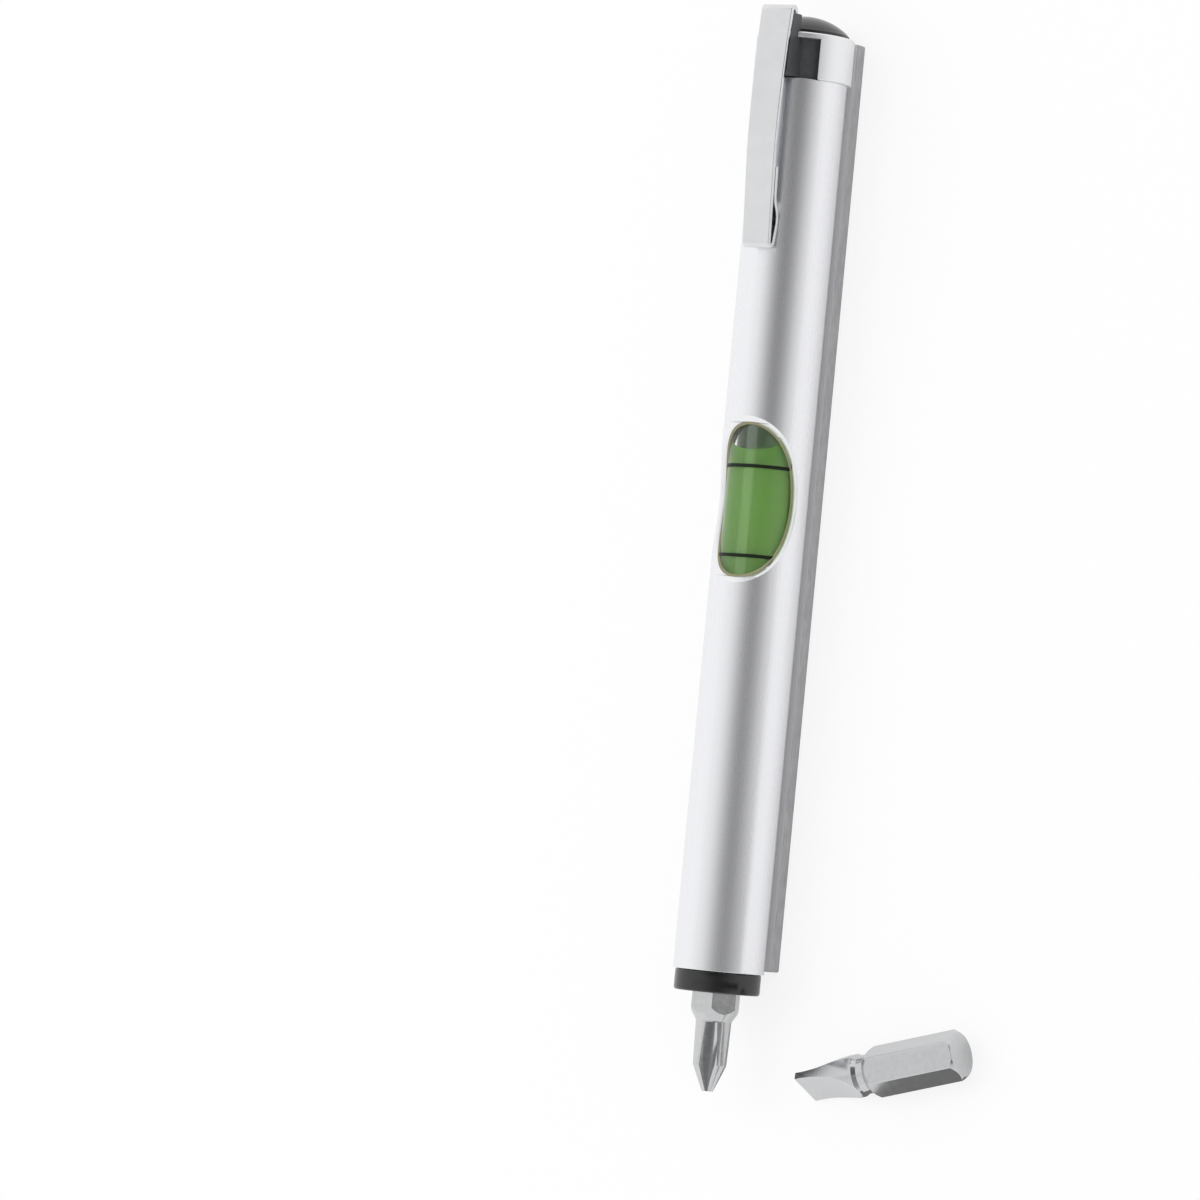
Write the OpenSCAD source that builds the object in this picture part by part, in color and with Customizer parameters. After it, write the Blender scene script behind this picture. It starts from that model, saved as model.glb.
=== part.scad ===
// Multi-tool pen: a round aluminium barrel on a flat magnetic rail, with a
// spirit level in a scooped window, a bit holder in the nose, two spare bits
// stored behind a push-in plug, and a sprung pocket clip.
// The barrel lies along X with its nose towards -X. Z = 0 is the underside of
// the rail and X = 0 is the middle of the window.

/* [Barrel] */
// Outer diameter of the barrel tube
tube_d = 12.8; // [12.6:0.1:13.2]
// Wall of the barrel tube
tube_wall = 0.8; // [0.75:0.05:0.9]
// Barrel length from the middle of the window to the nose end
nose_len = 66; // [58:0.5:80]
// Depth below the barrel axis of the flat land that the rail is glued to
land_drop = 5.9; // [5.75:0.05:6]

/* [Rail] */
// Width of the magnetic rail
rail_w = 10.3; // [8:0.1:12]
// Thickness of the magnetic rail
rail_t = 2.25; // [1.5:0.05:3]
// Chamfer along the edges of the rail
rail_chamfer = 0.25; // [0.1:0.05:0.4]
// How far the barrel runs past the rail at the nose
nose_past_rail = 0.5; // [0:0.1:2]

/* [Window] */
// Length of the window at the top of the barrel
window_len = 23.4; // [18:0.1:26]
// Depth of the window below the top of the barrel
window_depth = 5.2; // [4.5:0.1:6]

/* [Level] */
// Outer diameter of the vial
vial_d = 10.6; // [9.8:0.1:10.8]
// How far the vial runs on past each end of the window
vial_cover = 2.5; // [2:0.1:4]
// Shift of the vial from the middle of the window
vial_shift = -1.5; // [-1.6:0.1:1.2]
// Diameter of the liquid chamber in the vial
chamber_d = 8.8; // [8.6:0.1:9]
// Thickness of the vial's closed end and of its stopper
vial_end_t = 1.5; // [1:0.1:2]
// Diameter of the bubble
bubble_d = 8; // [5:0.1:8.2]
// Length of the bubble
bubble_len = 5.6; // [5:0.1:9]
// Radius round the ends of the bubble
bubble_round = 2; // [1:0.1:2.4]
// Spacing of the two level lines
line_gap = 12.6; // [10:0.1:14]
// Width of a level line
line_w = 0.5; // [0.3:0.05:0.8]
// Thickness of a level line
line_t = 0.1; // [0.05:0.01:0.15]
// Width of the rubber bands that centre the vial
band_w = 1.2; // [0.8:0.1:1.3]

/* [Bits] */
// Size of the hexagonal shanks across their flats
hex_af = 6.35; // [6:0.05:6.5]
// Length of a bit
bit_len = 25; // [24:0.5:28]
// Chamfer on the end of a shank
hex_chamfer = 0.6; // [0.3:0.1:0.9]
// Turn of the nose bit's flats away from the rail
socket_turn = -7; // [-30:1:30]
// Distance from the barrel axis to the near end of the bit that lies beside the pen
loose_bit_side = 12.4; // [9:0.1:40]
// Distance of the loose bit's middle behind the tip of the bit in the nose
loose_bit_back = 5.4; // [0:0.1:20]
// Angle of the loose bit to the barrel
loose_bit_angle = 74; // [45:1:90]

/* [Nose holder] */
// Diameter of the holder's flange
flange_d = 12.1; // [11:0.1:12.6]
// Thickness of the holder's flange
flange_t = 3; // [2:0.1:5]
// Depth of the hexagonal socket
socket_depth = 11.3; // [9:0.1:12]
// Diameter of the magnet behind the socket
magnet_d = 6; // [5:0.1:7]
// Thickness of the magnet
magnet_t = 3; // [2:0.1:4]
// Wall of the moulded holder behind the magnet
holder_wall = 1.3; // [1:0.1:1.8]

/* [Top end] */
// Outer diameter of the plated collar
collar_d = 13.86; // [13.6:0.02:14.2]
// Length of the collar
collar_len = 6.5; // [5.5:0.1:8]
// Wall of the collar
collar_wall = 1.3; // [1.2:0.05:1.4]
// Width of the notch in the collar
notch_w = 10.24; // [8:0.1:10.6]
// Height of the rim past the notch
notch_rim = 0.8; // [0.6:0.1:1.4]
// Thickness of the floor between the vial and the stored bits
floor_t = 3.7; // [2:0.1:5]
// Diameter of the plug's dome
dome_d = 12.2; // [11:0.1:12.4]
// Height of the dome
dome_h = 2.9; // [2.6:0.1:4]
// Height of the dome's straight edge
dome_edge = 0.5; // [0.3:0.1:1]
// Thickness of the dome above the stored bits
dome_roof = 1.8; // [1.2:0.1:2]
// Length of the plug's skirt
plug_len = 5.9; // [4.5:0.1:6]
// Outer diameter of the beads on the skirt
plug_d = 9.72; // [9.6:0.02:9.8]
// Length of a bead
plug_bead = 1.2; // [0.8:0.1:1.6]
// Depth of the neck between the beads
plug_neck = 0.35; // [0.1:0.05:0.4]

/* [Clip] */
// Thickness of the clip's spring strip
clip_t = 0.7; // [0.5:0.05:0.8]
// Length of the clip
clip_len = 34.3; // [30:0.1:40]
// How far the clip stands past the collar
clip_past_collar = 3.5; // [3:0.1:6]
// Width of the clip at its root
clip_root_w = 4.9; // [4:0.1:6]
// Width of the clip at its free end
clip_end_w = 4.2; // [3:0.1:5]
// Height of the clip's highest point above the barrel axis
clip_rise = 9.8; // [9.5:0.1:11]
// Distance of the highest point from the root fold
clip_crown = 17.3; // [15:0.1:20]
// Radius of the clip's long arch
clip_arch_r = 157; // [140:1:200]
// Outer radius of the fold at the root
fold_r = 0.95; // [0.9:0.05:1]
// Distance of the kink in the strip from the free end
kink_back = 13.5; // [12:0.5:15]
// Drop of the free end below the kink
end_drop = 0.95; // [0.6:0.05:1.1]
// Outer radius of the fold at the free end
tip_fold_r = 0.9; // [0.8:0.05:1]
// Radius of the bend where the inner leg bears on the pocket
leg_r = 4; // [3:0.1:4.6]
// Distance of that bend from the free end
leg_back = 3.9; // [3.4:0.1:4.5]
// Distance of the inner leg's end from the free end
leg_len = 11.4; // [10:0.1:13]
// Width of the tongue that holds the clip in the stem
tongue_w = 3.2; // [2.6:0.1:3.6]
// Width of the stem that carries the clip
stem_w = 4.7; // [4.2:0.1:4.9]

/* [Clearances] */
// Gap round a piece that is pressed or glued in
seat_gap = 0.03; // [0.02:0.01:0.05]
// Gap round a piece that slides
run_gap = 0.06; // [0.04:0.01:0.08]
// Gap to a piece that moves past or stands free
free_gap = 0.15; // [0.1:0.01:0.25]
// Room round the shanks of the stored bits
store_gap = 0.24; // [0.15:0.01:0.3]

/* [Hidden] */
round_fn = 96;
arc_steps = 12;

// heights
axis_z = rail_t + land_drop;
tube_r = tube_d / 2;
bore_r = tube_r - tube_wall;

// level
vial_len = window_len + 2 * vial_cover;
vial_nose_x = vial_shift - vial_len / 2;
vial_clip_x = vial_shift + vial_len / 2;

// stations along the barrel, from the nose to the top
nose_x = -nose_len;
flange_x = nose_x - flange_t;
socket_end_x = flange_x + socket_depth;
hex_r = hex_af / sqrt(3);
store_r = hex_r + store_gap;
store_floor_x = vial_clip_x + floor_t;
inner_bit_end_x = store_floor_x + free_gap;
inner_bit_tip_x = inner_bit_end_x + bit_len;
outer_bit_tip_x = inner_bit_tip_x + free_gap + bit_len;
plug_roof_x = outer_bit_tip_x + 2 * free_gap;
dome_top_x = plug_roof_x + dome_roof;
collar_end_x = dome_top_x - dome_h;
tube_end_x = collar_end_x - collar_len;
rail_nose_x = nose_x + nose_past_rail;
clip_end_x = collar_end_x + clip_past_collar;

// bit in the nose
nose_bit_end_x = socket_end_x - free_gap;
nose_bit_tip_x = nose_bit_end_x - bit_len;
socket_r = hex_r + run_gap * 2 / sqrt(3);

// top end
collar_r = collar_d / 2;
head_r = collar_r - collar_wall - seat_gap;
plug_r = plug_d / 2;
plug_bore_r = plug_r + run_gap;

// clip
fold_x = clip_end_x - fold_r;
crown_x = clip_end_x - clip_crown;
arch_tilt = asin((fold_x - crown_x) / (clip_arch_r - fold_r));
arch_z = clip_rise - clip_arch_r;
fold_z = arch_z + (clip_arch_r - fold_r) * cos(arch_tilt);
clip_tip_x = clip_end_x - clip_len;
kink_x = clip_tip_x + kink_back;
kink_tilt = asin((crown_x - kink_x) / clip_arch_r);
tip_fold_x = clip_tip_x + tip_fold_r;
tip_fold_z = arch_z + clip_arch_r * cos(kink_tilt) - end_drop - tip_fold_r;
leg_x = clip_tip_x + leg_back;
leg_z = tube_r + free_gap + leg_r;
leg_end_x = clip_tip_x + leg_len;
end_slope = atan(end_drop / (kink_x - tip_fold_x));
// bend that brings the inner leg up until it runs along close under the arm
leg_mid_r = leg_r - clip_t / 2;
leg_sink = (leg_z - tip_fold_z - tip_fold_r + clip_t / 2) * cos(end_slope)
    - (leg_x - tip_fold_x) * sin(end_slope);
leg_bend = end_slope + acos((leg_sink + leg_mid_r + clip_t + free_gap) / 2 / leg_mid_r);
bend_x = leg_x + 2 * leg_mid_r * sin(leg_bend);
bend_z = leg_z - 2 * leg_mid_r * cos(leg_bend);

// Points of an arc round [x, z] from angle a to angle b
function arc(x, z, r, a, b, n = arc_steps, first = 0) =
    [for (i = [first : n]) let (t = a + (b - a) * i / n) [x + r * cos(t), z + r * sin(t)]];

// Outline of a strip of thickness t laid along a path
function strip(path, t) =
    let (n = len(path) - 1)
    let (side = [for (i = [0 : n])
        let (d = path[min(i + 1, n)] - path[max(i - 1, 0)])
        [-d[1], d[0]] / norm(d) * t / 2])
    concat([for (i = [0 : n]) path[i] + side[i]],
           [for (i = [n : -1 : 0]) path[i] - side[i]]);

// Places a shape that stands along its own Z on the barrel axis at x
module on_axis(x) {
    translate([x, 0, axis_z]) rotate([0, 90, 0]) children();
}

// Solid cylinder on the barrel axis between two stations
module rod(x0, x1, r) {
    on_axis(x0) cylinder(h = x1 - x0, r = r, $fn = round_fn);
}

// Pipe on the barrel axis between two stations
module pipe(x0, x1, r_out, r_in) {
    on_axis(x0) linear_extrude(x1 - x0) difference() {
        circle(r = r_out, $fn = round_fn);
        circle(r = r_in, $fn = round_fn);
    }
}

// Outline in X and height above the axis, extruded across the barrel
module across(width) {
    translate([0, width / 2, axis_z]) rotate([90, 0, 0]) linear_extrude(width) children();
}

// Hexagonal prism along Z with two flats facing +X and -X
module hex_prism(r, h) {
    rotate([0, 0, 30]) cylinder(h = h, r = r, $fn = 6);
}

module tube() {
    scoop_r = (pow(window_len / 2, 2) + pow(window_depth, 2)) / (2 * window_depth);
    color("#D3D5D9") difference() {
        rod(nose_x, tube_end_x, tube_r);
        rod(nose_x - 1, tube_end_x + 1, bore_r);
        // flat land for the rail
        translate([nose_x - 1, -tube_r, axis_z - land_drop - tube_r])
            cube([tube_end_x - nose_x + 2, tube_d, tube_r]);
        // window, scooped by a cutter that runs across the barrel
        translate([0, 0, axis_z + tube_r - window_depth + scoop_r])
            rotate([90, 0, 0])
            cylinder(h = 2 * tube_d, r = scoop_r, center = true, $fn = 180);
    }
}

module magnetic_rail() {
    c = rail_chamfer;
    w = rail_w / 2;
    color("#7C7E80")
    translate([rail_nose_x, 0, 0]) rotate([90, 0, 90])
    linear_extrude(collar_end_x - rail_nose_x)
    polygon([[c - w, 0], [w - c, 0], [w, c], [w, rail_t - c],
             [w - c, rail_t], [c - w, rail_t], [-w, rail_t - c], [-w, c]]);
}

module vial_body() {
    color("#DDE8D8") difference() {
        rod(vial_nose_x, vial_clip_x, vial_d / 2);
        rod(vial_nose_x + vial_end_t, vial_clip_x + 1, chamber_d / 2);
    }
}

module vial_stopper() {
    color("#E6E8E6") rod(vial_clip_x - vial_end_t, vial_clip_x, chamber_d / 2 - seat_gap);
}

module vial_liquid() {
    r = bubble_d / 2;
    flat_r = r - bubble_round;
    liquid_r = chamber_d / 2 - seat_gap;
    nose_end_x = vial_nose_x + vial_end_t + seat_gap;
    clip_end_wall_x = vial_clip_x - vial_end_t - seat_gap;
    color("#9ED34A") difference() {
        rod(nose_end_x, clip_end_wall_x, liquid_r);
        // the bubble stands at the clip end of the chamber
        translate([0, 0, liquid_r - r - free_gap])
            on_axis(clip_end_wall_x - free_gap - bubble_len)
            rotate_extrude($fn = round_fn)
            polygon(concat(
                [[0, bubble_len], [0, 0]],
                arc(flat_r, bubble_round, bubble_round, -90, 0),
                arc(flat_r, bubble_len - bubble_round, bubble_round, 0, 90)));
    }
}

module level_line(side) {
    x = vial_shift + side * line_gap / 2;
    r = vial_d / 2 + seat_gap;
    color("#1A1C1A") pipe(x - line_w / 2, x + line_w / 2, r + line_t, r);
}

module vial_band(x0) {
    color("#2B2B2B") pipe(x0, x0 + band_w, bore_r - seat_gap, vial_d / 2 + seat_gap);
}

module nose_holder() {
    edge = 0.3;
    r = flange_d / 2;
    body_r = bore_r - seat_gap;
    color("#2A2D2F") difference() {
        union() {
            on_axis(flange_x) rotate_extrude($fn = round_fn)
                polygon([[0, 0], [r - edge, 0], [r, edge], [r, flange_t - edge],
                         [r - edge, flange_t], [0, flange_t]]);
            rod(nose_x - 1, vial_nose_x, body_r);
        }
        on_axis(flange_x - 1) rotate([0, 0, socket_turn]) hex_prism(socket_r, socket_depth + 1);
        rod(socket_end_x - 1, socket_end_x + magnet_t, magnet_d / 2 + seat_gap);
        // the moulding is hollow behind the magnet
        rod(socket_end_x + magnet_t + 2 * holder_wall, vial_nose_x + 1, body_r - holder_wall);
    }
}

module holder_magnet() {
    color("#9A9C9E") rod(socket_end_x, socket_end_x + magnet_t, magnet_d / 2);
}

// Bit blank with its tip at Z = 0: a turned neck and tip on a hexagonal shank
module bit_blank(tip_profile, shank_z) {
    over = hex_r + 1;
    intersection() {
        hex_prism(hex_r, bit_len);
        rotate_extrude($fn = round_fn)
            polygon(concat([[0, 0]], tip_profile,
                [[hex_r + 0.05, shank_z], [hex_r + 0.05, bit_len - hex_chamfer],
                 [hex_r + 0.05 - hex_chamfer, bit_len], [0, bit_len]]));
    }
}

// Cross-head bit: four V flutes run up the point and the round neck
module phillips_bit(neck_r, point_r, point_len, neck_len) {
    shoulder = (hex_r - neck_r) * 1.7;
    flute_len = point_len + neck_len;
    root_r = point_r * 0.7;
    reach = 2 * neck_r;
    flute_tilt = atan((neck_r * 0.62 - root_r) / flute_len);
    difference() {
        bit_blank([[point_r, 0], [neck_r, point_len], [neck_r, flute_len]],
                  flute_len + shoulder);
        for (turn = [30 : 90 : 300])
            rotate([0, 0, turn]) translate([root_r, 0, 0]) rotate([0, flute_tilt, 0])
            translate([0, 0, -1]) linear_extrude(flute_len + 1)
            polygon([[0, 0], [reach, reach], [reach, -reach]]);
    }
}

// Flat bit: a blade hollow ground on two sides, widening to its edge
module slotted_bit(blade_w, edge_t, blade_len, neck_r, grind_r) {
    blade_r = min(hex_af / 2, norm([blade_w, edge_t]) / 2);
    root_w = blade_w * 0.9;
    neck_end = blade_len + 1.6;
    shank_z = neck_end + (hex_r - neck_r) * 1.4;
    reach = 3 * hex_af;
    difference() {
        bit_blank([[blade_r, 0], [blade_r, blade_len], [neck_r, blade_len + 0.6],
                   [neck_r, neck_end]], shank_z);
        for (half = [0, 1]) {
            // hollow ground face
            mirror([half, 0, 0]) translate([edge_t / 2 + grind_r, 0, 0.5]) rotate([90, 0, 0])
                cylinder(h = reach, r = grind_r, center = true, $fn = 180);
            // slanted side of the blade
            mirror([0, half, 0]) rotate([90, 0, 90]) linear_extrude(reach, center = true)
                polygon([[blade_w / 2, -1], [blade_w / 2, 0], [root_w / 2, blade_len - 0.2],
                         [hex_af, blade_len - 0.2], [hex_af, -1]]);
        }
    }
}

module phillips_bit_large() {
    color("#B4B6B8") on_axis(nose_bit_tip_x) rotate([0, 0, socket_turn])
        phillips_bit(2.55, 0.8, 3.7, 6.2);
}

module slotted_bit_large() {
    // the bit lies on a flat beside the nose
    color("#C2C4C7")
    translate([nose_bit_tip_x + loose_bit_back, -loose_bit_side - bit_len / 2, hex_af / 2])
        rotate([0, 0, -loose_bit_angle]) translate([-bit_len / 2, 0, 0])
        rotate([0, 90, 0]) rotate([0, 0, 60]) slotted_bit(6, 1, 9, 2.75, 17);
}

module stored(tip_x) {
    translate([tip_x, 0, axis_z]) rotate([0, -90, 0]) children();
}

module slotted_bit_small() {
    color("#B4B6B8") stored(outer_bit_tip_x) slotted_bit(4, 0.8, 8, 2.3, 14);
}

module phillips_bit_small() {
    color("#B4B6B8") stored(inner_bit_tip_x) phillips_bit(2.2, 0.6, 3.2, 5.5);
}

module top_core() {
    stem_end_x = fold_x - free_gap;
    slot_z = fold_z - fold_r - seat_gap;
    color("#2A2D2F") difference() {
        union() {
            rod(vial_clip_x, tube_end_x, bore_r - seat_gap);
            rod(tube_end_x, collar_end_x, head_r);
            // stem, up through the collar's notch and out past its rim
            intersection() {
                translate([0, 0, head_r - 0.55]) across(stem_w)
                    polygon([[tube_end_x + free_gap, 0], [stem_end_x, 0],
                             [stem_end_x, clip_rise], [tube_end_x + free_gap, clip_rise]]);
                across(stem_w + 1) translate([crown_x, arch_z])
                    circle(r = clip_arch_r - clip_t - free_gap, $fn = 720);
            }
        }
        // bores for the stored bits and for the plug, and room for its dome
        rod(store_floor_x, collar_end_x, store_r);
        rod(collar_end_x - plug_len - free_gap, collar_end_x + 1, plug_bore_r);
        rod(collar_end_x, clip_end_x, dome_d / 2 + free_gap);
        // slot for the clip's tongue
        translate([0, 0, slot_z]) across(tongue_w + 2 * seat_gap)
            polygon([[fold_x - 3, 0], [clip_end_x, 0], [clip_end_x, clip_t + 2 * seat_gap],
                     [fold_x - 3, clip_t + 2 * seat_gap]]);
    }
}

module top_collar() {
    color("#E2E4E6") difference() {
        pipe(tube_end_x, collar_end_x, collar_r, head_r + seat_gap);
        // flat that sits on the rail
        translate([tube_end_x - 1, -collar_r, axis_z - land_drop - collar_r])
            cube([collar_len + 2, collar_d, collar_r]);
        // notch on the clip's side, and the slit in its rim for the stem
        translate([tube_end_x - 1, -notch_w / 2, axis_z])
            cube([collar_len - notch_rim + 1, notch_w, collar_d]);
        translate([tube_end_x - 1, -stem_w / 2 - run_gap, axis_z])
            cube([collar_len + 2, stem_w + 2 * run_gap, collar_d]);
    }
}

// Plan of the clip, narrowing towards its free end
module clip_plan() {
    translate([0, 0, axis_z]) linear_extrude(clip_rise + 2)
        polygon([[clip_tip_x - 1, -clip_end_w / 2], [fold_x, -clip_root_w / 2],
                 [clip_end_x + 1, -clip_root_w / 2], [clip_end_x + 1, clip_root_w / 2],
                 [fold_x, clip_root_w / 2], [clip_tip_x - 1, clip_end_w / 2]]);
}

module clip_arm() {
    mid = clip_t / 2;
    // centre line of the strip, from the root fold over the arch to the inner leg
    arm_path = concat(
        arc(fold_x, fold_z, fold_r - mid, 12, 90 - arch_tilt, 6),
        arc(crown_x, arch_z, clip_arch_r - mid, 90 - arch_tilt, 90 + kink_tilt, 16, 1),
        arc(tip_fold_x, tip_fold_z, tip_fold_r - mid, 90, 260, 8),
        arc(leg_x, leg_z, leg_mid_r, 260, 270 + leg_bend, 8),
        arc(bend_x, bend_z, leg_mid_r, 90 + leg_bend, 90 + end_slope, 5, 1));
    last = arm_path[len(arm_path) - 1];
    leg_end = [leg_end_x, last[1] + (leg_end_x - last[0]) * tan(end_slope)];
    color("#DDDFE2") intersection() {
        across(clip_root_w) polygon(strip(concat(arm_path, [leg_end]), clip_t));
        clip_plan();
    }
}

module clip_root() {
    mid = clip_t / 2;
    tongue_z = fold_z - fold_r + mid;
    fold_start_x = fold_x - 0.05;
    // tongue in the stem's slot, and the strip's full width round the fold
    color("#DDDFE2") union() {
        across(tongue_w)
            polygon(strip([[fold_x - 3 + free_gap, tongue_z], [fold_x, tongue_z]], clip_t));
        across(clip_root_w)
            polygon(strip(concat([[fold_start_x, tongue_z]],
                                 arc(fold_x, fold_z, fold_r - mid, -90, -4, 6)), clip_t));
    }
}

module top_plug() {
    cap_h = dome_h - dome_edge;
    cap_r = (pow(dome_d / 2, 2) + pow(cap_h, 2)) / (2 * cap_h);
    cap_turn = asin(dome_d / 2 / cap_r);
    neck_r = plug_r - plug_neck;
    // half section: skirt with a bead at each end, flange, dome and the hollow
    color("#3A3F3C") on_axis(collar_end_x) rotate_extrude($fn = round_fn)
        polygon(concat(
            [[store_r, -plug_len], [plug_r - plug_neck, -plug_len],
             [plug_r, plug_neck - plug_len], [plug_r, plug_bead - plug_len],
             [neck_r, plug_bead + plug_neck - plug_len], [neck_r, -plug_bead],
             [plug_r, plug_neck - plug_bead], [plug_r, 0], [dome_d / 2, 0]],
            [for (p = arc(0, dome_h - cap_r, cap_r, 90 - cap_turn, 90)) p],
            [[0, plug_roof_x - collar_end_x], [store_r, plug_roof_x - collar_end_x]]));
}

tube();
magnetic_rail();
vial_body();
vial_stopper();
vial_liquid();
level_line(-1);  // level_line_nose
level_line(1);  // level_line_clip
vial_band(vial_nose_x + free_gap);  // vial_band_nose
vial_band(vial_clip_x - free_gap - band_w);  // vial_band_clip
nose_holder();
holder_magnet();
phillips_bit_large();
slotted_bit_large();
top_core();
top_collar();
clip_root();
clip_arm();
top_plug();
slotted_bit_small();
phillips_bit_small();
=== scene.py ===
from math import acos, asin, atan, cos, degrees, hypot, pi, radians, sin, sqrt, tan

import bmesh
import bpy
from mathutils import Matrix, Vector


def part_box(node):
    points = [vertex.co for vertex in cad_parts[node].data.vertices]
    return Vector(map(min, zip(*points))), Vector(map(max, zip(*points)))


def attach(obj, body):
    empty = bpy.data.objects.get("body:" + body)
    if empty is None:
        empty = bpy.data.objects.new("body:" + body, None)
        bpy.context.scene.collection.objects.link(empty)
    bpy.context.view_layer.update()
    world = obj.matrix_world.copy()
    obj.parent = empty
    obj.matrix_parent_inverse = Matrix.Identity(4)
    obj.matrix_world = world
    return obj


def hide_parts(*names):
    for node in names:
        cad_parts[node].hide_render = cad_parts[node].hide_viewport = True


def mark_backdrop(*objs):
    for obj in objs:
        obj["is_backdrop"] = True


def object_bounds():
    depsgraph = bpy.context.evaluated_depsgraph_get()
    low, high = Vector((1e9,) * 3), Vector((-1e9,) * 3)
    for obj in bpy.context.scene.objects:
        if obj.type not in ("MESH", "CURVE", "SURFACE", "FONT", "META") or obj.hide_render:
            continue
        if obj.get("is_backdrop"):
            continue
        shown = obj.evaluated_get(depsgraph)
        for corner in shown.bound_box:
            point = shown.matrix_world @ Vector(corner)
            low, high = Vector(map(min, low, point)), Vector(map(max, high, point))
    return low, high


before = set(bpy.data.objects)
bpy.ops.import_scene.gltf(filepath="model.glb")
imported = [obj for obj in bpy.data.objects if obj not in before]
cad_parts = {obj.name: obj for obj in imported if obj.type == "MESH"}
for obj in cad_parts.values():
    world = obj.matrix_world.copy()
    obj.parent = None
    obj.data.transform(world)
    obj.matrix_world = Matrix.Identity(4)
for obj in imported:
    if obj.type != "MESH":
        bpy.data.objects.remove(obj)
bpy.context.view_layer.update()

# Barrel tube: a drawn aluminium tube with a clear satin finish. A milling cutter
# has scooped the window out of its top and planed the flat land along its
# underside that the magnetic rail is glued to. Its edges are broken by hand.
mm = 0.001
land_drop = 5.9 * mm
tube_wall = 0.8 * mm
window_len = 23.4 * mm
window_depth = 5.2 * mm
tube_steps = 192
scoop_steps = 360
edge_break = 0.12 * mm
fine_break = edge_break / 2

tube_low, tube_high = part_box("tube")
rail_low, rail_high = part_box("magnetic_rail")
axis_z = rail_high.z + land_drop
tube_r = tube_high.z - axis_z
bore_r = tube_r - tube_wall


def solid(name, points, faces):
    """A new closed mesh with its faces turned outwards."""
    mesh = bpy.data.meshes.new(name)
    mesh.from_pydata([tuple(p) for p in points], [], faces)
    shape = bmesh.new()
    shape.from_mesh(mesh)
    bmesh.ops.recalc_face_normals(shape, faces=shape.faces)
    shape.to_mesh(mesh)
    shape.free()
    piece = bpy.data.objects.new(name, mesh)
    bpy.context.scene.collection.objects.link(piece)
    return piece


def arc(centre_x, centre_r, radius, start, end, steps):
    """Points of an arc in the plane of the axis, between two angles in degrees."""
    turns = [radians(start + (end - start) * i / steps) for i in range(steps + 1)]
    return [(centre_x + radius * cos(t), centre_r + radius * sin(t)) for t in turns]


def circle(centre_x, centre_r, radius, steps):
    """Points of a full circle in the plane of the axis."""
    return arc(centre_x, centre_r, radius, 0, 360, steps)[:-1]


def eased(corners, steps=3):
    """An outline whose corners (x, r, rounding) are rounded off where they have a rounding."""
    outline = []
    for i, (x, r, rounding) in enumerate(corners):
        here = Vector((x, r))
        if not rounding:
            outline.append((x, r))
            continue
        before = (Vector(corners[i - 1][:2]) - here).normalized()
        after = (Vector(corners[(i + 1) % len(corners)][:2]) - here).normalized()
        half = before.angle(after) / 2
        reach = rounding / tan(half)
        middle = here + (before + after).normalized() * rounding / sin(half)
        first = here + before * reach - middle
        last = here + after * reach - middle
        sweep = first.angle_signed(last)
        for k in range(steps + 1):
            turn = Matrix.Rotation(-sweep * k / steps, 2)
            outline.append(tuple(middle + turn @ first))
    return outline


def turned(name, outline, steps=tube_steps):
    """A piece turned about the pen's axis from a closed outline of (station, radius)."""
    points, faces, rings = [], [], []
    for x, r in outline:
        count = steps if r > 0 else 1
        rings.append(range(len(points), len(points) + count))
        for i in range(count):
            turn = 2 * pi * i / steps
            points.append((x, r * sin(turn), axis_z + r * cos(turn)))
    for a, b in zip(rings, rings[1:] + rings[:1]):
        for i in range(steps):
            ring = [a[i % len(a)], a[(i + 1) % len(a)], b[(i + 1) % len(b)], b[i % len(b)]]
            corners = list(dict.fromkeys(ring))
            if len(corners) > 2:
                faces.append(corners)
    return solid(name, points, faces)


def block(name, low, high):
    """A plain block to cut with, between two corners."""
    points = [(x, y, z) for x in (low[0], high[0]) for y in (low[1], high[1])
              for z in (low[2], high[2])]
    faces = [(0, 1, 3, 2), (4, 6, 7, 5), (0, 4, 5, 1), (2, 3, 7, 6), (0, 2, 6, 4), (1, 5, 7, 3)]
    return solid(name, points, faces)


def extruded(name, outline, place):
    """A prism between y = 0 and y = 1 over an outline of (x, z), set down by a matrix."""
    count = len(outline)
    points = [place @ Vector((x, y, z)) for y in (0, 1) for x, z in outline]
    faces = [tuple(range(count)), tuple(range(2 * count - 1, count - 1, -1))]
    for i in range(count):
        j = (i + 1) % count
        faces.append((i, i + count, j + count, j))
    return solid(name, points, faces)


def settle(piece):
    """Applies a piece's modifiers to its mesh."""
    seen = piece.evaluated_get(bpy.context.evaluated_depsgraph_get())
    mesh = bpy.data.meshes.new_from_object(seen)
    piece.modifiers.clear()
    piece.data = mesh


def join_in(piece, tool, how="DIFFERENCE"):
    """Cuts a tool out of a piece, or adds or intersects it, and uses the tool up."""
    bpy.context.view_layer.update()
    step = piece.modifiers.new("join", "BOOLEAN")
    step.operation = how
    step.solver = "EXACT"
    step.object = tool
    settle(piece)
    bpy.data.objects.remove(tool)


def break_edges(piece, width, segments=2, angle=32):
    """Rounds a piece's sharp edges by a little and shades the rest smooth."""
    if width:
        step = piece.modifiers.new("edges", "BEVEL")
        step.width = width
        step.segments = segments
        step.limit_method = "ANGLE"
        step.angle_limit = radians(angle)
        step.use_clamp_overlap = True
        settle(piece)
    piece.data.shade_smooth()
    piece.data.set_sharp_from_angle(angle=radians(angle))
    step = piece.modifiers.new("normals", "WEIGHTED_NORMAL")
    step.keep_sharp = True
    settle(piece)


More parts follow.
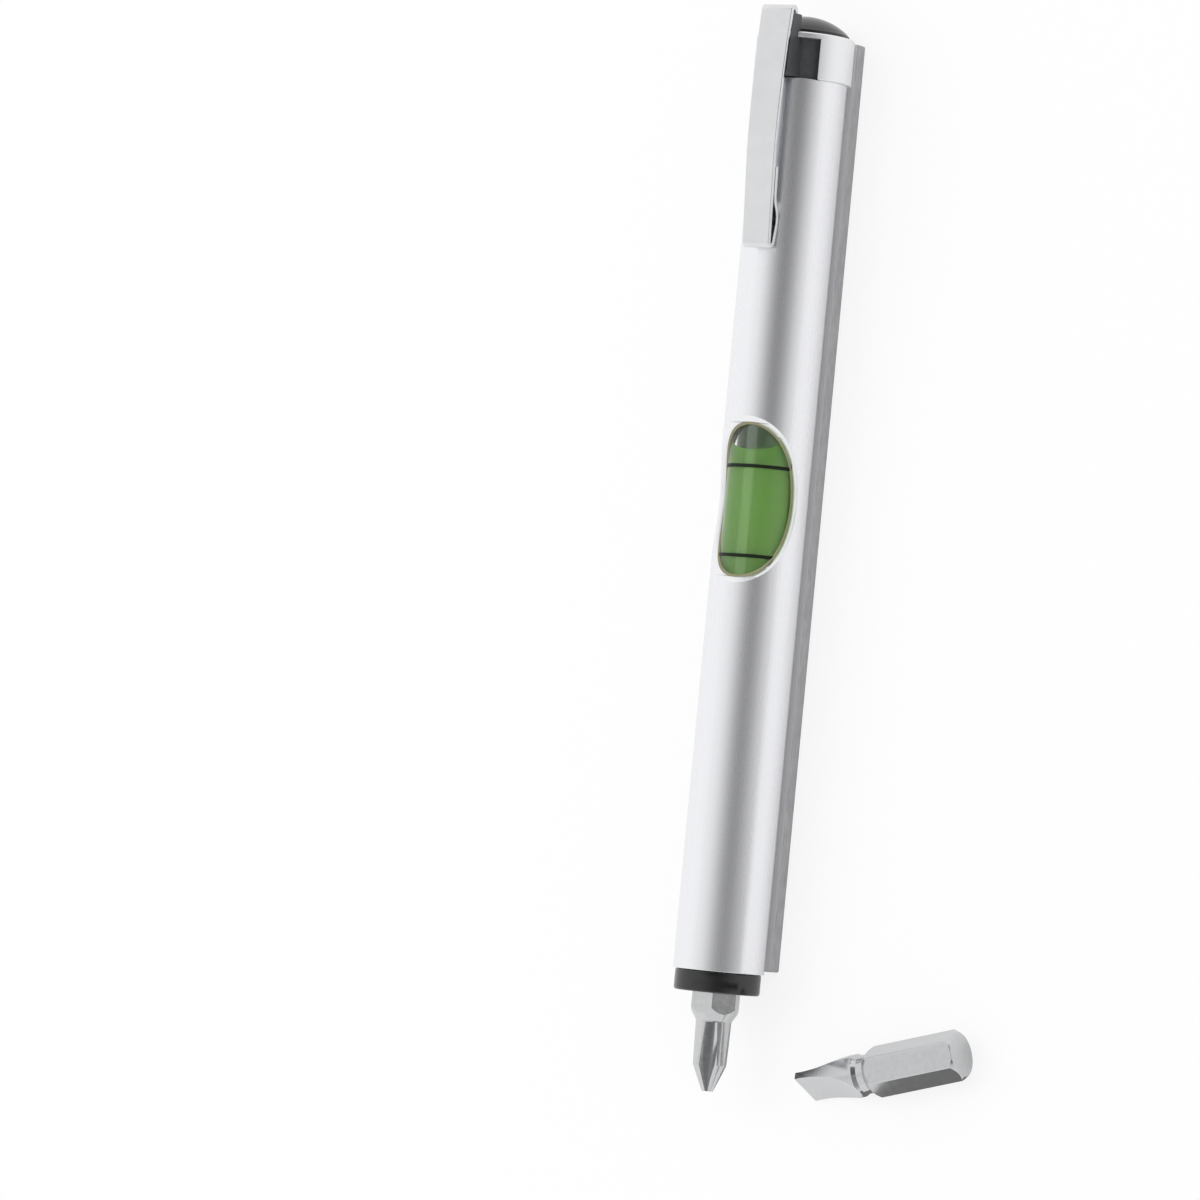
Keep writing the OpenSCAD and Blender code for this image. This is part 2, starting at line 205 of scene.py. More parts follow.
class Finish:
    """A node material: one shader, with noise over the piece for its colour, gloss and relief."""

    noise_low = 0.3
    noise_high = 0.7

    def __init__(self, name, colour, metallic, roughness):
        self.material = bpy.data.materials.new(name)
        self.material.use_nodes = True
        self.nodes = self.material.node_tree.nodes
        self.links = self.material.node_tree.links
        self.shader = self.nodes["Principled BSDF"]
        self.shader.inputs["Base Color"].default_value = (*colour, 1)
        self.shader.inputs["Metallic"].default_value = metallic
        self.shader.inputs["Roughness"].default_value = roughness
        self.place = self.nodes.new("ShaderNodeTexCoord").outputs["Object"]

    def noise(self, per_metre, detail):
        """Noise with this many cells per metre along X, Y and Z."""
        stretch = self.nodes.new("ShaderNodeMapping")
        stretch.inputs["Scale"].default_value = per_metre
        noise = self.nodes.new("ShaderNodeTexNoise")
        noise.inputs["Scale"].default_value = 1
        noise.inputs["Detail"].default_value = detail
        self.links.new(self.place, stretch.inputs["Vector"])
        self.links.new(stretch.outputs["Vector"], noise.inputs["Vector"])
        return noise.outputs["Fac"]

    def colours(self, fac, *stops):
        """Colours the surface by a ramp of (place, colour)."""
        ramp = self.nodes.new("ShaderNodeValToRGB")
        for i, (place, colour) in enumerate(stops):
            stop = ramp.color_ramp.elements[i] if i < 2 else ramp.color_ramp.elements.new(place)
            stop.position = place
            stop.color = (*colour, 1)
        self.links.new(fac, ramp.inputs["Fac"])
        self.links.new(ramp.outputs["Color"], self.shader.inputs["Base Color"])

    def gloss(self, fac, low, high):
        """Varies the roughness between two values, over the range where most noise lies."""
        span = self.nodes.new("ShaderNodeMapRange")
        span.inputs["From Min"].default_value = self.noise_low
        span.inputs["From Max"].default_value = self.noise_high
        span.inputs["To Min"].default_value = low
        span.inputs["To Max"].default_value = high
        self.links.new(fac, span.inputs["Value"])
        self.links.new(span.outputs["Result"], self.shader.inputs["Roughness"])

    def relief(self, fac, height):
        """Raises the surface by the noise."""
        bump = self.nodes.new("ShaderNodeBump")
        bump.inputs["Distance"].default_value = height
        bump.inputs["Strength"].default_value = 1
        self.links.new(fac, bump.inputs["Height"])
        self.links.new(bump.outputs["Normal"], self.shader.inputs["Normal"])


def fit(piece, finish, body, node=None):
    """Gives a finished piece its material and its body, and hides the solid that it stands for."""
    piece.data.materials.clear()
    piece.data.materials.append(finish.material)
    if node:
        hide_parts(node)
    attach(piece, body)


aluminium = Finish("satin_aluminium", (0.87, 0.875, 0.90), metallic=1.0, roughness=0.27)
drawn = aluminium.noise((25, 2600, 2600), detail=4)
aluminium.colours(drawn, (0.25, (0.86, 0.865, 0.89)), (0.75, (0.88, 0.885, 0.91)))
aluminium.gloss(drawn, low=0.26, high=0.28)
aluminium.relief(aluminium.noise((900, 9000, 9000), detail=2), height=0.0004 * mm)

scoop_r = ((window_len / 2) ** 2 + window_depth ** 2) / (2 * window_depth)
scoop_z = axis_z + tube_r - window_depth + scoop_r


def window_cutter(lift=0.0):
    """The cylinder that scoops the window, square across the barrel and raised by the lift."""
    across_tube = Matrix.Translation((0, -tube_r * 2, 0)) @ Matrix.Diagonal((1, tube_r * 4, 1, 1))
    return extruded("scoop", circle(0, scoop_z + lift, scoop_r, scoop_steps), across_tube)


tube = turned("barrel_tube", eased([
    (tube_low.x, bore_r, edge_break), (tube_low.x, tube_r, edge_break),
    (tube_high.x, tube_r, fine_break), (tube_high.x, bore_r, edge_break)]))
join_in(tube, window_cutter())
join_in(tube, block("land", (tube_low.x - mm, -tube_r, axis_z - tube_r * 2),
                    (tube_high.x + mm, tube_r, rail_high.z)))
break_edges(tube, fine_break)
fit(tube, aluminium, "barrel", "tube")

# the bore keeps the dull grey of the drawn stock, and the cutter leaves a clean rim
raw = Finish("raw_bore", (0.62, 0.62, 0.63), metallic=0.3, roughness=0.7)
raw.relief(raw.noise((900, 9000, 9000), detail=2), height=0.003 * mm)
milled = Finish("milled_rim", (0.88, 0.885, 0.90), metallic=1.0, roughness=0.24)
milled.relief(milled.noise((1500, 300, 1500), detail=2), height=0.001 * mm)
tube.data.materials.append(raw.material)
tube.data.materials.append(milled.material)
skin_t = 0.02 * mm
bore_facing = 0.9
rim_facing = 0.5
for face in tube.data.polygons:
    outwards = Vector((0, face.center.y, face.center.z - axis_z))
    to_cutter = Vector((-face.center.x, 0, scoop_z - face.center.z))
    inwards_share = -face.normal.dot(outwards.normalized())
    cutter_share = face.normal.dot(to_cutter.normalized())
    if outwards.length < bore_r + skin_t and inwards_share > bore_facing:
        face.material_index = 1
    elif to_cutter.length < scoop_r + edge_break and cutter_share > rim_facing:
        face.material_index = 2

# Magnetic rail: a flat grey bar of sintered magnet with broken edges. It is glued
# along the barrel's land and makes the straight base that the level needs.
rail_chamfer = 0.25 * mm

ferrite = Finish("grey_ferrite", (0.40, 0.40, 0.41), metallic=0.3, roughness=0.5)
mottle = ferrite.noise((500, 1500, 1500), detail=5)
ferrite.colours(mottle, (0.3, (0.36, 0.36, 0.37)), (0.7, (0.47, 0.47, 0.48)))
ferrite.gloss(mottle, low=0.42, high=0.6)
ferrite.relief(ferrite.noise((4000, 9000, 9000), detail=2), height=0.004 * mm)

rail = block("magnet_rail", rail_low, rail_high)
break_edges(rail, rail_chamfer, segments=3)
fit(rail, ferrite, "barrel", "magnetic_rail")

# its top face gets a lighter grey: painted light that offsets the shade it lies in under the
# barrel's overhang
painted_light_top = Finish("ferrite_top_painted_light", (0.64, 0.64, 0.65), metallic=0.3, roughness=0.45)
painted_light_top.relief(painted_light_top.noise((400, 6000, 6000), detail=2), height=0.003 * mm)
rail.data.materials.append(painted_light_top.material)
top_facing = 0.9
for face in rail.data.polygons:
    if face.normal.z > top_facing:
        face.material_index = 1

# Level vial: a clear moulded acrylic tube with one closed end and a stopper in the
# other, lined with white in its lower half. Green, slightly cloudy spirit fills it
# up to a bubble, and two black lines are printed round it.
vial_low, vial_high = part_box("vial_body")
liquid_low, liquid_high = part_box("vial_liquid")
vial_r = vial_high.z - axis_z
vial_end_t = 1.5 * mm
vial_edge = 0.3 * mm
mouth_edge = 0.1 * mm
chamber_r = 4.4 * mm

acrylic = Finish("clear_acrylic", (0.97, 0.985, 0.96), metallic=0.0, roughness=0.03)
acrylic.shader.inputs["Transmission Weight"].default_value = 1
acrylic.shader.inputs["IOR"].default_value = 1.49
acrylic.relief(acrylic.noise((300, 300, 300), detail=2), height=0.004 * mm)

vial = turned("level_vial", eased([
    (vial_low.x, 0, 0), (vial_low.x, vial_r, vial_edge), (vial_high.x, vial_r, vial_edge),
    (vial_high.x, chamber_r, mouth_edge), (vial_low.x + vial_end_t, chamber_r, vial_edge),
    (vial_low.x + vial_end_t, 0, 0)]))
break_edges(vial, 0)
fit(vial, acrylic, "barrel", "vial_body")

spirit = Finish("green_spirit", (0.31, 0.70, 0.11), metallic=0.0, roughness=0.02)
spirit.shader.inputs["Transmission Weight"].default_value = 0.6
spirit.shader.inputs["IOR"].default_value = 1.36
cloud = spirit.noise((150, 250, 250), detail=2)
spirit.colours(cloud, (0.3, (0.295, 0.685, 0.10)), (0.7, (0.325, 0.715, 0.12)))

wetting = 0.02 * mm
liquid_edge = 0.2 * mm
bubble_r = 4.1 * mm
bubble_len = 6 * mm
bubble_dome = 3.2 * mm
bubble_foot = 0.4 * mm
bubble_lift = 0.5 * mm
bubble_gap = 0.15 * mm
liquid = turned("level_spirit", eased([
    (liquid_low.x, 0, 0), (liquid_low.x, chamber_r + wetting, liquid_edge),
    (liquid_high.x, chamber_r + wetting, liquid_edge), (liquid_high.x, 0, 0)]))
bubble_x = liquid_high.x - bubble_gap
bubble_outline = eased([
    (bubble_x - bubble_len, 0, 0), (bubble_x - bubble_len, bubble_r, bubble_dome),
    (bubble_x, bubble_r, bubble_foot), (bubble_x, 0, 0)], steps=10)
bubble = turned("bubble", bubble_outline, steps=96)
bubble.location.z = bubble_lift
join_in(liquid, bubble)
break_edges(liquid, 0, angle=60)
fit(liquid, spirit, "barrel", "vial_liquid")

lining_turn = 200
lining_steps = 48
lining_t = 0.1 * mm

lining_paint = Finish("white_lining", (0.92, 0.93, 0.90), metallic=0.0, roughness=0.6)
lining_paint.relief(lining_paint.noise((2000, 2000, 2000), detail=2), height=0.004 * mm)

points, faces = [], []
for x in (liquid_low.x + lining_t, liquid_high.x - lining_t):
    for r in (chamber_r - lining_t, chamber_r):
        for i in range(lining_steps + 1):
            turn = radians(180 - lining_turn / 2 + lining_turn * i / lining_steps)
            points.append((x, r * sin(turn), axis_z + r * cos(turn)))
row = lining_steps + 1
for i in range(lining_steps):
    for a, b in ((0, 1), (1, 3), (3, 2), (2, 0)):
        faces.append((a * row + i, b * row + i, b * row + i + 1, a * row + i + 1))
faces += [(0, row, 3 * row, 2 * row), (row - 1, 2 * row - 1, 4 * row - 1, 3 * row - 1)]
lining = solid("vial_lining", points, faces)
break_edges(lining, 0)
fit(lining, lining_paint, "barrel")

ink = Finish("printed_black", (0.008, 0.014, 0.006), metallic=0.0, roughness=0.5)
ink.shader.inputs["Specular IOR Level"].default_value = 0.2
ink.relief(ink.noise((6000, 6000, 6000), detail=2), height=0.003 * mm)

line_t = 0.1 * mm
line_edge = 0.04 * mm
for node in ("level_line_nose", "level_line_clip"):
    low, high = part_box(node)
    outer = high.z - axis_z
    line = turned(node + "_print", eased([
        (low.x, outer - line_t, 0), (low.x, outer, line_edge),
        (high.x, outer, line_edge), (high.x, outer - line_t, 0)]))
    break_edges(line, 0)
    fit(line, ink, "barrel", node)


def finish_solid(node, finish):
    """Gives a material to a solid that the scene keeps as it is."""
    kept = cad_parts[node]
    kept.data.materials.clear()
    kept.data.materials.append(finish.material)


stopper_plastic = Finish("translucent_stopper", (0.80, 0.83, 0.80), metallic=0.0, roughness=0.3)
stopper_plastic.shader.inputs["Subsurface Weight"].default_value = 0.2
stopper_plastic.relief(stopper_plastic.noise((2000, 2000, 2000), detail=3), height=0.01 * mm)
finish_solid("vial_stopper", stopper_plastic)

# Vial bedding: a thin buff sleeve round the vial, cut out with the window, and a
# rubber band at each of its ends. They hold the vial in the middle of the bore.
sleeve_start_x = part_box("vial_band_nose")[1].x
sleeve_end_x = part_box("vial_band_clip")[0].x
sleeve_gap = 0.02 * mm
sleeve_proud = 0.06 * mm

sleeve_paper = Finish("buff_sleeve", (0.30, 0.28, 0.17), metallic=0.0, roughness=0.8)
sleeve_paper.relief(sleeve_paper.noise((3000, 3000, 3000), detail=3), height=0.01 * mm)

sleeve = turned("vial_sleeve", [
    (sleeve_start_x, vial_r + sleeve_gap), (sleeve_start_x, bore_r - sleeve_gap),
    (sleeve_end_x, bore_r - sleeve_gap), (sleeve_end_x, vial_r + sleeve_gap)])
join_in(sleeve, window_cutter(sleeve_proud))
break_edges(sleeve, 0)
fit(sleeve, sleeve_paper, "barrel")

band_rubber = Finish("band_rubber", (0.03, 0.03, 0.03), metallic=0.0, roughness=0.7)
band_rubber.relief(band_rubber.noise((3000, 3000, 3000), detail=3), height=0.02 * mm)
for node in ("vial_band_nose", "vial_band_clip"):
    finish_solid(node, band_rubber)

# Nose holder: a glossy black moulding pressed into the barrel up to its flange,
# with a hexagonal socket for the bit and a disc magnet at the socket's bottom.
holder_low, holder_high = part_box("nose_holder")
magnet_low, magnet_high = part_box("holder_magnet")
hex_af = 6.35 * mm
hex_r = hex_af / sqrt(3)
flange_t = 3 * mm
flange_r = holder_high.z - axis_z
flange_edge = 0.35 * mm
flange_back_edge = 0.3 * mm
press_gap = 0.03 * mm
stem_r = bore_r - press_gap
stem_edge = 0.2 * mm
back_fillet = 0.5 * mm
socket_gap = 0.06 * mm
socket_turn = -7
holder_wall = 1.3 * mm

black = Finish("glossy_black_moulding", (0.003, 0.0035, 0.004), metallic=0.0, roughness=0.17)
black.shader.inputs["Specular IOR Level"].default_value = 0.7
skin = black.noise((1200, 1200, 1200), detail=4)
black.colours(skin, (0.3, (0.0025, 0.003, 0.0035)), (0.7, (0.004, 0.0045, 0.005)))
black.gloss(skin, low=0.13, high=0.21)
black.relief(black.noise((5000, 5000, 5000), detail=3), height=0.006 * mm)


def hex_outline(radius, corner=0.0):
    """Six corners with two flats square to the first axis, rounded where corner isn't 0."""
    corners = [(radius * cos(radians(30 + 60 * i)), radius * sin(radians(30 + 60 * i)), corner)
               for i in range(6)]
    return eased(corners[::-1], steps=4)


# lays a prism's y along the pen, with its x up and its z across
lengthwise = Matrix(((0, 1, 0, 0), (0, 0, 1, 0), (1, 0, 0, 0), (0, 0, 0, 1)))


def along_axis(x, length, turn=0.0):
    """Lays a prism of this length along the pen's axis from station x, turned by an angle."""
    return (Matrix.Translation((x, 0, axis_z)) @ Matrix.Rotation(radians(turn), 4, "X")
            @ lengthwise @ Matrix.Diagonal((1, length, 1, 1)))


back_x = magnet_high.x + 2 * holder_wall
nose = turned("nose_holder_moulding", eased([
    (holder_low.x, 0, 0), (holder_low.x, flange_r, flange_edge),
    (holder_low.x + flange_t, flange_r, flange_back_edge), (holder_low.x + flange_t, stem_r, 0),
    (holder_high.x, stem_r, stem_edge), (holder_high.x, stem_r - holder_wall, stem_edge),
    (back_x, stem_r - holder_wall, back_fillet), (back_x, 0, 0)]))
magnet_seat = (magnet_high.z - magnet_low.z) / 2 + press_gap
join_in(nose, turned("seat", [
    (magnet_low.x - mm, 0), (magnet_low.x - mm, magnet_seat), (magnet_high.x, magnet_seat),
    (magnet_high.x, 0)], steps=96))
socket_r = hex_r + socket_gap * 2 / sqrt(3)
socket_len = magnet_low.x - holder_low.x + mm
join_in(nose, extruded("socket", hex_outline(socket_r),
                       along_axis(holder_low.x - mm, socket_len, socket_turn)))
break_edges(nose, 0)
fit(nose, black, "barrel", "nose_holder")

magnet_plate = Finish("nickel_plate", (0.62, 0.61, 0.58), metallic=1.0, roughness=0.25)
magnet_plate.relief(magnet_plate.noise((3000, 3000, 3000), detail=3), height=0.01 * mm)
finish_solid("holder_magnet", magnet_plate)

# Bits: forged and ground chrome-vanadium steel with a bright nickel finish, each
# 25 mm long on a hexagonal shank. The cross-head bit in the nose and the two
# stored bits lie on the pen's axis; the large slotted bit lies loose beside it.
bit_len = 25 * mm
hex_chamfer = 0.6 * mm
hex_corner = 0.25 * mm
bit_edge = 0.05 * mm
blank_spare = 0.05 * mm

steel = Finish("bright_bit_steel", (0.60, 0.605, 0.61), metallic=1.0, roughness=0.16)
ground = steel.noise((1500, 1500, 1500), detail=4)
steel.colours(ground, (0.3, (0.585, 0.59, 0.595)), (0.7, (0.625, 0.63, 0.64)))
steel.gloss(ground, low=0.14, high=0.20)
steel.relief(steel.noise((2500, 2500, 2500), detail=3), height=0.003 * mm)


def bit_blank(name, tip_outline, shank_x):
    """A turned tip and neck on a hexagonal shank, lying along the axis with its tip at x = 0."""
    wide = hex_r + blank_spare
    outline = [(0, 0)] + tip_outline + [
        (shank_x, wide), (bit_len - hex_chamfer, wide), (bit_len, wide - hex_chamfer), (bit_len, 0)]
    blank = turned(name, outline, steps=144)
    bar = extruded("hex", hex_outline(hex_r, hex_corner), along_axis(-mm, bit_len + 2 * mm))
    join_in(blank, bar, "INTERSECT")
    return blank


def phillips_bit(name, neck_r, point_r, point_len, neck_len):
    """Cross-head bit: four V flutes run up the point and the round neck."""
    flute_turns = (30, 120, 210, 300)
    shoulder_slope = 1.7
    tip_web = 0.7
    neck_web = 0.62
    flute_len = point_len + neck_len
    shank_x = flute_len + (hex_r - neck_r) * shoulder_slope
    root_r = point_r * tip_web
    flute_tilt = atan((neck_r * neck_web - root_r) / flute_len)
    bit = bit_blank(name, [(0, point_r), (point_len, neck_r), (flute_len, neck_r)], shank_x)
    # a wedge that opens away from the axis, from ahead of the tip to the flute's end
    reach = 2 * neck_r
    wedge = [(0, 0), (reach, reach), (reach, -reach)]
    for turn in flute_turns:
        place = (Matrix.Translation((0, 0, axis_z)) @ Matrix.Rotation(radians(turn), 4, "X")
                 @ Matrix.Translation((0, 0, root_r)) @ Matrix.Rotation(-flute_tilt, 4, "Y")
                 @ Matrix.Translation((-mm, 0, 0)) @ lengthwise
                 @ Matrix.Diagonal((1, flute_len + mm, 1, 1)))
        join_in(bit, extruded("flute", wedge, place))
    return bit


def slotted_bit(name, blade_w, edge_t, blade_len, neck_r, grind_r):
    """Flat bit: a blade hollow ground on two sides, widening to its edge."""
    shoulder_slope = 1.4
    root_share = 0.9
    neck_len = 1.6 * mm
    neck_step = 0.6 * mm
    grind_x = 0.5 * mm
    slant_stop = 0.2 * mm
    blade_r = min(hex_af / 2, hypot(blade_w, edge_t) / 2)
    root_w = blade_w * root_share
    neck_end = blade_len + neck_len
    shank_x = neck_end + (hex_r - neck_r) * shoulder_slope
    bit = bit_blank(name, [(0, blade_r), (blade_len, blade_r), (blade_len + neck_step, neck_r),
                           (neck_end, neck_r)], shank_x)
    reach = 3 * hex_af
    slant_end = blade_len - slant_stop
    slant = [(-mm, blade_w / 2), (0, blade_w / 2), (slant_end, root_w / 2),
             (slant_end, hex_af), (-mm, hex_af)]
    for side in (-1, 1):
        wheel = circle(grind_x, side * (edge_t / 2 + grind_r), grind_r, steps=180)
        place = Matrix.Translation((0, -reach / 2, axis_z)) @ Matrix.Diagonal((1, reach, 1, 1))
        join_in(bit, extruded("wheel", wheel, place))
        place = (Matrix.Translation((0, 0, axis_z - reach / 2))
                 @ Matrix(((1, 0, 0, 0), (0, 0, side, 0), (0, reach, 0, 0), (0, 0, 0, 1))))
        join_in(bit, extruded("slant", slant, place))
    return bit


def lay_bit(bit, place, body, node):
    """Moves a bit from its station at the origin to its place, and finishes it."""
    bit.data.transform(place @ Matrix.Translation((0, 0, -axis_z)))
    break_edges(bit, bit_edge, angle=25)
    fit(bit, steel, body, node)


nose_bit_tip_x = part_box("phillips_bit_large")[0].x
nose_bit = phillips_bit("cross_bit_in_nose", neck_r=2.55 * mm, point_r=0.8 * mm,
                        point_len=3.7 * mm, neck_len=6.2 * mm)
in_socket = (Matrix.Translation((nose_bit_tip_x, 0, axis_z))
             @ Matrix.Rotation(radians(socket_turn), 4, "X"))
lay_bit(nose_bit, in_socket, "nose_bit", "phillips_bit_large")

outer_bit_tip_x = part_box("slotted_bit_small")[1].x
outer_bit = slotted_bit("stored_slotted_bit", blade_w=4 * mm, edge_t=0.8 * mm, blade_len=8 * mm,
                        neck_r=2.3 * mm, grind_r=14 * mm)
about_face = Matrix.Rotation(pi, 4, "Z")
in_store = Matrix.Translation((outer_bit_tip_x, 0, axis_z)) @ about_face
lay_bit(outer_bit, in_store, "outer_bit", "slotted_bit_small")

inner_low, inner_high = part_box("phillips_bit_small")
inner_bit = phillips_bit("stored_cross_bit", neck_r=2.2 * mm, point_r=0.6 * mm,
                         point_len=3.2 * mm, neck_len=5.5 * mm)
in_store = Matrix.Translation((inner_high.x, 0, axis_z)) @ about_face
lay_bit(inner_bit, in_store, "inner_bit", "phillips_bit_small")

loose_bit_back = 5.4 * mm
loose_bit_side = 12.4 * mm
loose_bit_angle = 74
hex_flat_down = 60
loose_bit = slotted_bit("loose_slotted_bit", blade_w=6 * mm, edge_t=1 * mm, blade_len=9 * mm,
                        neck_r=2.75 * mm, grind_r=17 * mm)
loose_middle = Vector((nose_bit_tip_x + loose_bit_back, -loose_bit_side - bit_len / 2, hex_af / 2))
on_floor = (Matrix.Translation(loose_middle) @ Matrix.Rotation(radians(-loose_bit_angle), 4, "Z")
            @ Matrix.Translation((-bit_len / 2, 0, 0))
            @ Matrix.Rotation(radians(hex_flat_down), 4, "X"))
lay_bit(loose_bit, on_floor, "barrel", "slotted_bit_large")

# Top core: the black moulding pressed into the barrel's top. It closes off the
# vial, holds the bore for the stored bits, and carries the clip on a stem that
# comes out through the collar's notch and past its rim.
satin = Finish("satin_black_moulding", (0.060, 0.063, 0.068), metallic=0.0, roughness=0.45)
grain = satin.noise((1400, 1400, 1400), detail=4)
satin.colours(grain, (0.3, (0.052, 0.055, 0.060)), (0.7, (0.068, 0.071, 0.076)))
satin.gloss(grain, low=0.4, high=0.5)
satin.relief(satin.noise((4000, 4000, 4000), detail=3), height=0.008 * mm)

core_start_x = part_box("top_core")[0].x
collar_low, collar_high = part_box("top_collar")
plug_low, plug_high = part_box("top_plug")
clip_low, clip_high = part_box("clip_arm")
collar_r = (collar_high.y - collar_low.y) / 2
collar_wall = 1.3 * mm
free_gap = 0.15 * mm
seat_gap = 0.03 * mm
run_gap = 0.06 * mm
head_r = collar_r - collar_wall - seat_gap
head_edge = 0.06 * mm
store_gap = 0.24 * mm
store_r = hex_r + store_gap
store_mouth_edge = 0.15 * mm
plug_r = 4.86 * mm
plug_bore_r = plug_r + run_gap
plug_bore_edge = 0.1 * mm
store_floor_x = inner_low.x - free_gap
stem_w = 4.7 * mm
stem_sink = 0.55 * mm
stem_steps = 8
tongue_w = 3.2 * mm
tongue_len = 3 * mm

clip_t = 0.7 * mm
clip_root_w = 4.9 * mm
clip_end_w = 4.2 * mm
clip_crown = 17.3 * mm
clip_crown_x = clip_high.x - clip_crown
clip_arch_r = 157 * mm
fold_r = 0.95 * mm
fold_x = clip_high.x - fold_r
arch_tilt = asin((fold_x - clip_crown_x) / (clip_arch_r - fold_r))
arch_z = clip_high.z - clip_arch_r
fold_z = arch_z + (clip_arch_r - fold_r) * cos(arch_tilt)

core = turned("top_core_moulding", eased([
    (core_start_x, 0, 0), (core_start_x, stem_r, stem_edge), (collar_low.x, stem_r, 0),
    (collar_low.x, head_r, 0), (collar_high.x, head_r, head_edge),
    (collar_high.x, plug_bore_r, plug_bore_edge), (plug_low.x - free_gap, plug_bore_r, 0),
    (plug_low.x - free_gap, store_r, store_mouth_edge), (store_floor_x, store_r, 0),
    (store_floor_x, 0, 0)]))
stem_foot = axis_z + head_r - stem_sink
stem_start_x = collar_low.x + free_gap
stem_end_x = fold_x - free_gap
under_r = clip_arch_r - clip_t - free_gap
stem_stations = [stem_end_x + (stem_start_x - stem_end_x) * i / stem_steps
                 for i in range(stem_steps + 1)]
under_clip = [(x, arch_z + sqrt(under_r ** 2 - (x - clip_crown_x) ** 2)) for x in stem_stations]
stem = extruded("stem", [(stem_start_x, stem_foot), (stem_end_x, stem_foot)] + under_clip,
                Matrix.Translation((0, -stem_w / 2, 0)) @ Matrix.Diagonal((1, stem_w, 1, 1)))
dome_room = plug_high.z - axis_z + free_gap
join_in(stem, turned("dome_room", [(collar_high.x, 0), (collar_high.x, dome_room),
                                   (clip_high.x, dome_room), (clip_high.x, 0)]))
join_in(core, stem, "UNION")
slot_low = fold_z - fold_r - seat_gap
slot_high = fold_z - fold_r + clip_t + seat_gap
slot_w = tongue_w / 2 + seat_gap
join_in(core, block("slot", (fold_x - tongue_len, -slot_w, slot_low),
                    (clip_high.x, slot_w, slot_high)))
break_edges(core, 0)
fit(core, satin, "barrel", "top_core")

# Collar: a turned ring with pearl plating, pressed over the core's head. On the
# clip's side it is open in a notch, with a thin rim that is slit for the stem, and
# it is flat where it sits on the rail.
notch_w = 10.24 * mm
notch_rim = 0.8 * mm
collar_seam_edge = 0.15 * mm
collar_rim_edge = 0.25 * mm
collar_bore_edge = 0.05 * mm
collar_mouth_edge = 0.1 * mm
notch_edge = 0.06 * mm

pearl = Finish("pearl_plated_collar", (0.90, 0.905, 0.915), metallic=1.0, roughness=0.42)
sheen = pearl.noise((400, 400, 400), detail=3)
pearl.colours(sheen, (0.3, (0.89, 0.895, 0.905)), (0.7, (0.91, 0.915, 0.925)))
pearl.gloss(sheen, low=0.38, high=0.46)
pearl.relief(pearl.noise((1200, 1200, 1200), detail=2), height=0.003 * mm)

ring_in = head_r + seat_gap
collar = turned("top_collar_ring", eased([
    (collar_low.x, ring_in, collar_bore_edge), (collar_low.x, collar_r, collar_seam_edge),
    (collar_high.x, collar_r, collar_rim_edge), (collar_high.x, ring_in, collar_mouth_edge)]))
join_in(collar, block("flat", (collar_low.x - mm, -collar_r, 0),
                      (collar_high.x + mm, collar_r, rail_high.z)))
join_in(collar, block("notch", (collar_low.x - mm, -notch_w / 2, axis_z),
                      (collar_high.x - notch_rim, notch_w / 2, axis_z + 2 * collar_r)))
slit_w = stem_w / 2 + run_gap
join_in(collar, block("slit", (collar_low.x - mm, -slit_w, axis_z),
                      (collar_high.x + mm, slit_w, axis_z + 2 * collar_r)))
break_edges(collar, notch_edge)
fit(collar, pearl, "barrel", "top_collar")

# Pocket clip: one bright plated strip of spring steel, bent back under itself at
# the root, where the core's slot holds it, and folded at the free end. It arches
# over the barrel, and flexes at the root's fold.
kink_back = 13.5 * mm
end_drop = 0.95 * mm
tip_fold_r = 0.9 * mm
leg_r = 4 * mm
leg_back = 3.9 * mm
leg_len = 11.4 * mm
strip_edge = 0.12 * mm
split_turn = 4
fold_lead = 0.05 * mm
shoulder_len = 0.01 * mm
half_t = clip_t / 2

plate = Finish("bright_clip_plate", (0.74, 0.745, 0.755), metallic=1.0, roughness=0.13)
shine = plate.noise((400, 400, 400), detail=3)
plate.colours(shine, (0.3, (0.72, 0.725, 0.735)), (0.7, (0.76, 0.765, 0.775)))
plate.gloss(shine, low=0.10, high=0.17)
plate.relief(plate.noise((1200, 1200, 1200), detail=2), height=0.003 * mm)

kink_x = clip_low.x + kink_back
kink_tilt = asin((clip_crown_x - kink_x) / clip_arch_r)
tip_fold_x = clip_low.x + tip_fold_r
tip_fold_z = arch_z + clip_arch_r * cos(kink_tilt) - end_drop - tip_fold_r
leg_x = clip_low.x + leg_back
leg_z = axis_z + tube_r + free_gap + leg_r
end_slope = atan(end_drop / (kink_x - tip_fold_x))
leg_mid_r = leg_r - half_t
leg_sink = ((leg_z - tip_fold_z - tip_fold_r + half_t) * cos(end_slope)
            - (leg_x - tip_fold_x) * sin(end_slope))
leg_bend = end_slope + acos((leg_sink + leg_mid_r + clip_t + free_gap) / 2 / leg_mid_r)
bend_x = leg_x + 2 * leg_mid_r * sin(leg_bend)
bend_z = leg_z - 2 * leg_mid_r * cos(leg_bend)


def clip_width(x):
    """The strip narrows from the root fold to the free end."""
    share = max(0, min(1, (fold_x - x) / (fold_x - clip_low.x)))
    return clip_root_w + (clip_end_w - clip_root_w) * share


